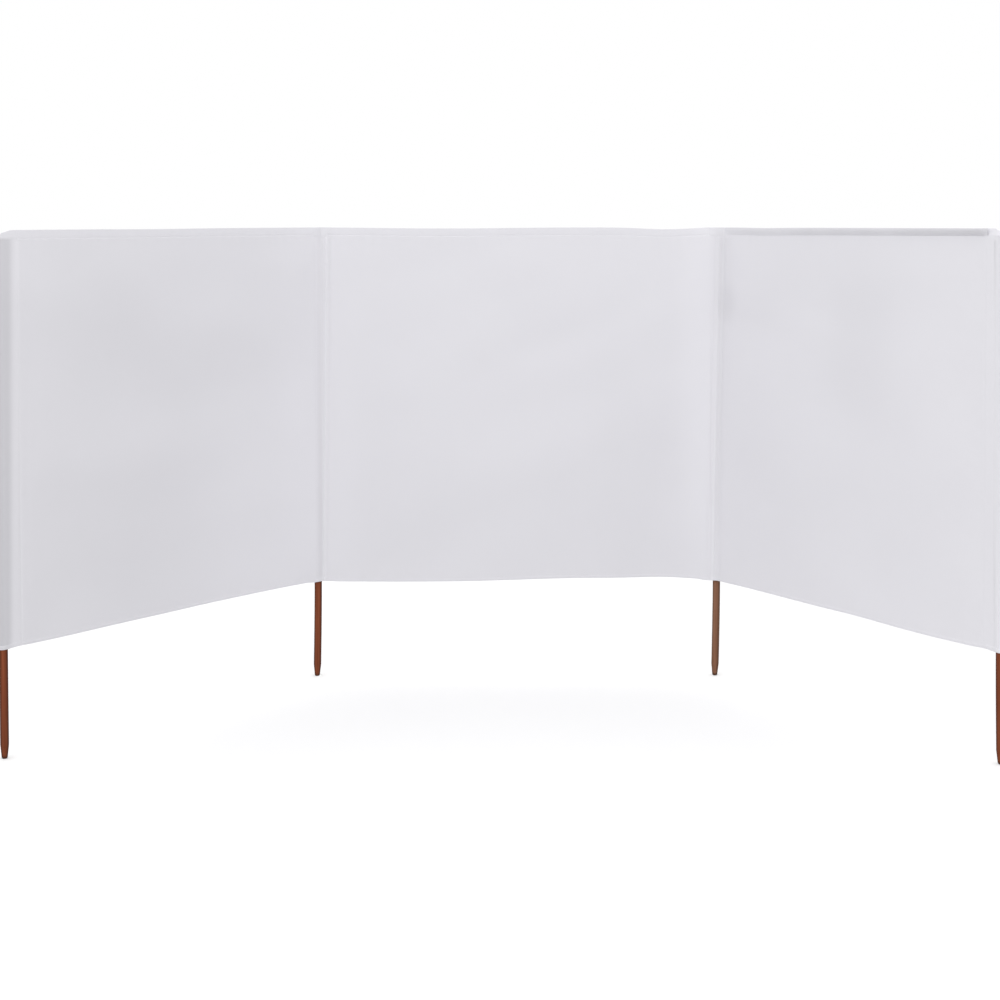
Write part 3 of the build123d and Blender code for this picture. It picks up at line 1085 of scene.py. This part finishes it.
def clothMaterial():
    # Plain weave: the product of two sines at the thread pitch, over slubs that run with the threads.
    look = clothFinish
    material, tree, shader = newMaterial("white_cloth")
    place = addNode(tree, "ShaderNodeUVMap", {"uv_map": "clothMap"}).outputs[0]
    split = addNode(tree, "ShaderNodeSeparateXYZ", s0=place).outputs
    perMetre = np.pi / look["threadPitch"]
    warp, weft = (math(tree, "SINE", math(tree, "MULTIPLY", split[axis], perMetre)) for axis in (0, 1))
    weave = math(tree, "MULTIPLY", warp, weft)
    across, along = look["slubAcross"], look["slubAlong"]
    upright = stretchedNoise(tree, place, (across, along, 1), look["slubDetail"])
    level = stretchedNoise(tree, place, (along, across, 1), look["slubDetail"])
    slub = mixTone(tree, upright, level, 0.5)
    blotch = noiseTone(tree, place, look["blotchScale"], look["blotchDetail"])
    tone = mixTone(tree, slub, blotch, look["slubShare"])
    colour = mixColour(tree, tone, look["shaded"], look["colour"])
    # Painted light and shade: the tone attribute scales the colour lighter or darker, and the poleShade
    # attribute mixes in a grey painted shade.
    lighter = math(tree, "ADD", attribute(tree, "tone"), 1.0)
    patched = addNode(tree, "ShaderNodeVectorMath", {"operation": "SCALE"}, s0=colour, Scale=lighter)
    slubRelief = addNode(tree, "ShaderNodeBump", Strength=look["slubBump"], Distance=look["slubDepth"],
                         Height=slub)
    relief = addNode(tree, "ShaderNodeBump", Strength=look["weaveBump"], Distance=look["weaveDepth"],
                     Height=weave, Normal=slubRelief.outputs[0])
    setShader(tree, shader, {
        "Base Color": mixColour(tree, attribute(tree, "poleShade"), patched.outputs[0], look["poleShadeColour"]),
        "Roughness": fromNoise(tree, slub, *look["rough"]), "Specular IOR Level": look["specular"],
        "Sheen Weight": look["sheen"], "Normal": relief.outputs[0],
    })
    return material


threadFinish = {
    "pale": (0.76, 0.755, 0.79, 1), "dull": (0.69, 0.685, 0.72, 1), "scale": 900.0, "detail": 2.0,
    "rough": 0.45, "roughSpread": 0.3,
}


def threadMaterial():
    # Twisted thread: fine noise between two near whites.
    look = threadFinish
    material, tree, shader = newMaterial("white_thread")
    noise = noiseTone(tree, objectPlace(tree), look["scale"], look["detail"])
    setShader(tree, shader, {
        "Base Color": mixColour(tree, noise, look["dull"], look["pale"]),
        "Roughness": math(tree, "ADD", math(tree, "MULTIPLY", noise, look["roughSpread"]), look["rough"]),
    })
    return material


woodFinish = {
    # The side colours are the painted shade down the two sides of a pole.
    "stain": {"dark": (0.116, 0.027, 0.010, 1), "pale": (0.262, 0.073, 0.031, 1),
              "side": (0.055, 0.013, 0.006, 1)},
    "worn": {"dark": (0.116, 0.044, 0.021, 1), "pale": (0.285, 0.143, 0.088, 1),
             "side": (0.103, 0.049, 0.028, 1)},
    "sideShadeDepth": 0.85, "rough": (0.54, 0.68), "specular": 0.12,
    "broadStretch": (95, 95, 3.4), "broadDetail": 3.0, "broadShare": 0.55,
    "grainStretch": (620, 620, 9), "grainDetail": 4.0, "grainRoughness": 0.65,
    "grainBump": 0.25, "grainDepth": 0.15 * mm,
    "nose": (0.045, 0.018, 0.011, 1), "noseTop": 16 * mm, "noseFoot": 6 * mm, "noseShare": 0.75,
    "noseRagged": 6 * mm,
}


def woodMaterial(name, tones):
    # Stained wood: two noises drawn out along the pole, grain over broad tone, painted shade down its
    # two sides, and a dark nose.
    look = woodFinish
    material, tree, shader = newMaterial(name)
    place = objectPlace(tree)
    broad = stretchedNoise(tree, place, look["broadStretch"], look["broadDetail"])
    grain = stretchedNoise(tree, place, look["grainStretch"], look["grainDetail"],
                           Roughness=look["grainRoughness"])
    spread = fromNoise(tree, mixTone(tree, broad, grain, look["broadShare"]), 0.0, 1.0)
    colour = mixColour(tree, spread, tones["dark"], tones["pale"])
    # Painted shade down the two sides of the pole, from the attribute that makePole gives it.
    side = math(tree, "MULTIPLY", attribute(tree, "sideShade"), look["sideShadeDepth"])
    colour = mixColour(tree, side, colour, tones["side"])
    height = addNode(tree, "ShaderNodeSeparateXYZ", s0=place).outputs[2]
    ragged = math(tree, "ADD", height, math(tree, "MULTIPLY", grain, look["noseRagged"]))
    nose = addNode(tree, "ShaderNodeMapRange", {"interpolation_type": "SMOOTHSTEP"}, s0=ragged,
                   s1=look["noseFoot"], s2=look["noseTop"], s3=look["noseShare"], s4=0.0)
    relief = addNode(tree, "ShaderNodeBump", Strength=look["grainBump"], Distance=look["grainDepth"],
                     Height=grain)
    setShader(tree, shader, {
        "Base Color": mixColour(tree, nose.outputs[0], colour, look["nose"]),
        "Roughness": fromNoise(tree, grain, *look["rough"]), "Specular IOR Level": look["specular"],
        "Normal": relief.outputs[0],
    })
    return material


cloth = clothMaterial()
thread = threadMaterial()
stainedWood = woodMaterial("stained_wood", woodFinish["stain"])
wornWood = woodMaterial("worn_wood", woodFinish["worn"])
print("materials: cloth, thread and two woods")


def dress(piece, material):
    piece.data.materials.clear()
    piece.data.materials.append(material)


# The pieces, each on the body that carries it
bodyOfEndPole = {"left_end": "left_bay", "right_end": "right_bay"}
outerBody = {"left": "left_bay", "right": "right_bay"}
dowels = {}
for poleName in poleNames:
    dowel = makePole(poleName)
    dress(dowel, wornWood if poleName == "right" else stainedWood)
    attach(dowel, bodyOfEndPole.get(poleName, "centre_bay"))
    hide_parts(poleName + "_pole")
    dowels[poleName] = dowel
print("poles:", len(dowels))

panels, folds = {}, {}
for bayName, bay in bays.items():
    panel = makePanel(bayName)
    dress(panel, cloth)
    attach(panel, bay["body"])
    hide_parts(bayName + "_panel")
    panels[bayName] = panel
    for edge in ("top", "bottom"):
        fold = makeHem(bayName, edge)
        dress(fold, cloth)
        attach(fold, bay["body"])
        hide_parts(f"{bayName}_{edge}_hem")
        folds[bayName, edge] = fold
print("panels and hems:", len(panels), len(folds))

sleeves, rims = {}, {}
for poleName in poleNames:
    sleeve, rim = makePocket(poleName), makeMouth(poleName)
    for piece in (sleeve, rim):
        dress(piece, cloth)
        if poleName in outerBody:
            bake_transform(piece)
        else:
            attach(piece, bodyOfEndPole[poleName])
    seams = [poleName + "_pocket_seam"] if poleName in outerBody else []
    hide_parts(poleName + "_pocket", *seams)
    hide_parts(poleName + "_mouth_hem")
    sleeves[poleName], rims[poleName] = sleeve, rim
print("pockets and mouth rims:", len(sleeves), len(rims))

stitchRows = {bay["body"]: [] for bay in bays.values()}
for bayName, bay in bays.items():
    for edge in ("top", "bottom"):
        stitchRows[bay["body"]] += hemStitches(bayName, edge)
for poleName in poleNames:
    for bodyName, row in seamStitches(poleName):
        stitchRows[bodyName].append(row)
stitching = {}
for bodyName, rows in stitchRows.items():
    piece = makeStitches(bodyName, rows)
    dress(piece, thread)
    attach(piece, bodyName)
    stitching[bodyName] = piece
stitchCounts = {name: len(piece.data.polygons) // facesPerStitch for name, piece in stitching.items()}
print("stitches:", stitchCounts)

# Floor: flat rings, near white to the camera and greyer to the light that bounces.
floorLook = {
    "radius": 60.0, "hole": 0.01, "sink": 0.2 * mm, "rings": 24, "spacingPower": 2, "around": 64,
    "seen": (0.90, 0.90, 0.90, 1), "bounce": (0.55, 0.55, 0.55, 1),
}


def makeFloor():
    share = np.linspace(0, 1, floorLook["rings"])[:, None] ** floorLook["spacingPower"]
    reach = floorLook["radius"] * share + floorLook["hole"]
    angle = np.linspace(0, fullTurn, floorLook["around"], endpoint=False)[None, :]
    level = -floorLook["sink"]
    points = np.stack(np.broadcast_arrays(reach * np.cos(angle), reach * np.sin(angle), level), -1)
    piece = gridObject("floor", points, ring=True)
    material, tree, shader = newMaterial("pale_floor")
    colour = mixColour(tree, seenDirectly(tree), floorLook["bounce"], floorLook["seen"])
    setShader(tree, shader, {"Base Color": colour, "Roughness": 1.0, "Specular IOR Level": 0.0})
    piece.data.materials.append(material)
    return piece


# Light: a bright even sky, white where it is seen, and a weak broad key from the front left.
lightLook = {"sky": 1.204, "key": 0.398, "keyAngle": 0.6, "keyTurn": (62, 0, -29)}


def makeLight():
    world = bpy.data.worlds.new("studio")
    bpy.context.scene.world = world
    world.use_nodes = True
    tree = world.node_tree
    background = next(node for node in tree.nodes if node.type == "BACKGROUND")
    strength = addNode(tree, "ShaderNodeMapRange", s0=seenDirectly(tree), s1=0.0, s2=1.0,
                       s3=lightLook["sky"], s4=1.0)
    setShader(tree, background, {"Color": (1, 1, 1, 1), "Strength": strength.outputs[0]})
    key = bpy.data.lights.new("key", "SUN")
    key.energy = lightLook["key"]
    key.angle = lightLook["keyAngle"]
    lamp = bpy.data.objects.new("key", key)
    lamp.rotation_euler = Euler(np.radians(lightLook["keyTurn"]))
    bpy.context.scene.collection.objects.link(lamp)


# Camera: eye height, a long lens and a downward shift, as the poles and hems converge.
cameraLook = {"place": (0.6172, -7.0593, 1.5603), "lens": 75.537, "sensor": 36, "pitch": 2.322,
              "roll": -0.113, "shift": -0.2}


def makeCamera():
    data = bpy.data.cameras.new("camera")
    data.lens = cameraLook["lens"]
    data.sensor_width = cameraLook["sensor"]
    data.shift_y = cameraLook["shift"]
    camera = bpy.data.objects.new("camera", data)
    camera.location = cameraLook["place"]
    turn = Euler(np.radians((90 - cameraLook["pitch"], 0, 0))).to_matrix()
    roll = Euler(np.radians((0, 0, cameraLook["roll"]))).to_matrix()
    camera.rotation_euler = (turn @ roll).to_euler()
    bpy.context.scene.collection.objects.link(camera)
    bpy.context.scene.camera = camera


makeFloor()
makeLight()
makeCamera()
bpy.context.scene.view_settings.view_transform = "Standard"
print("floor, light and camera set")

bpy.context.view_layer.update()
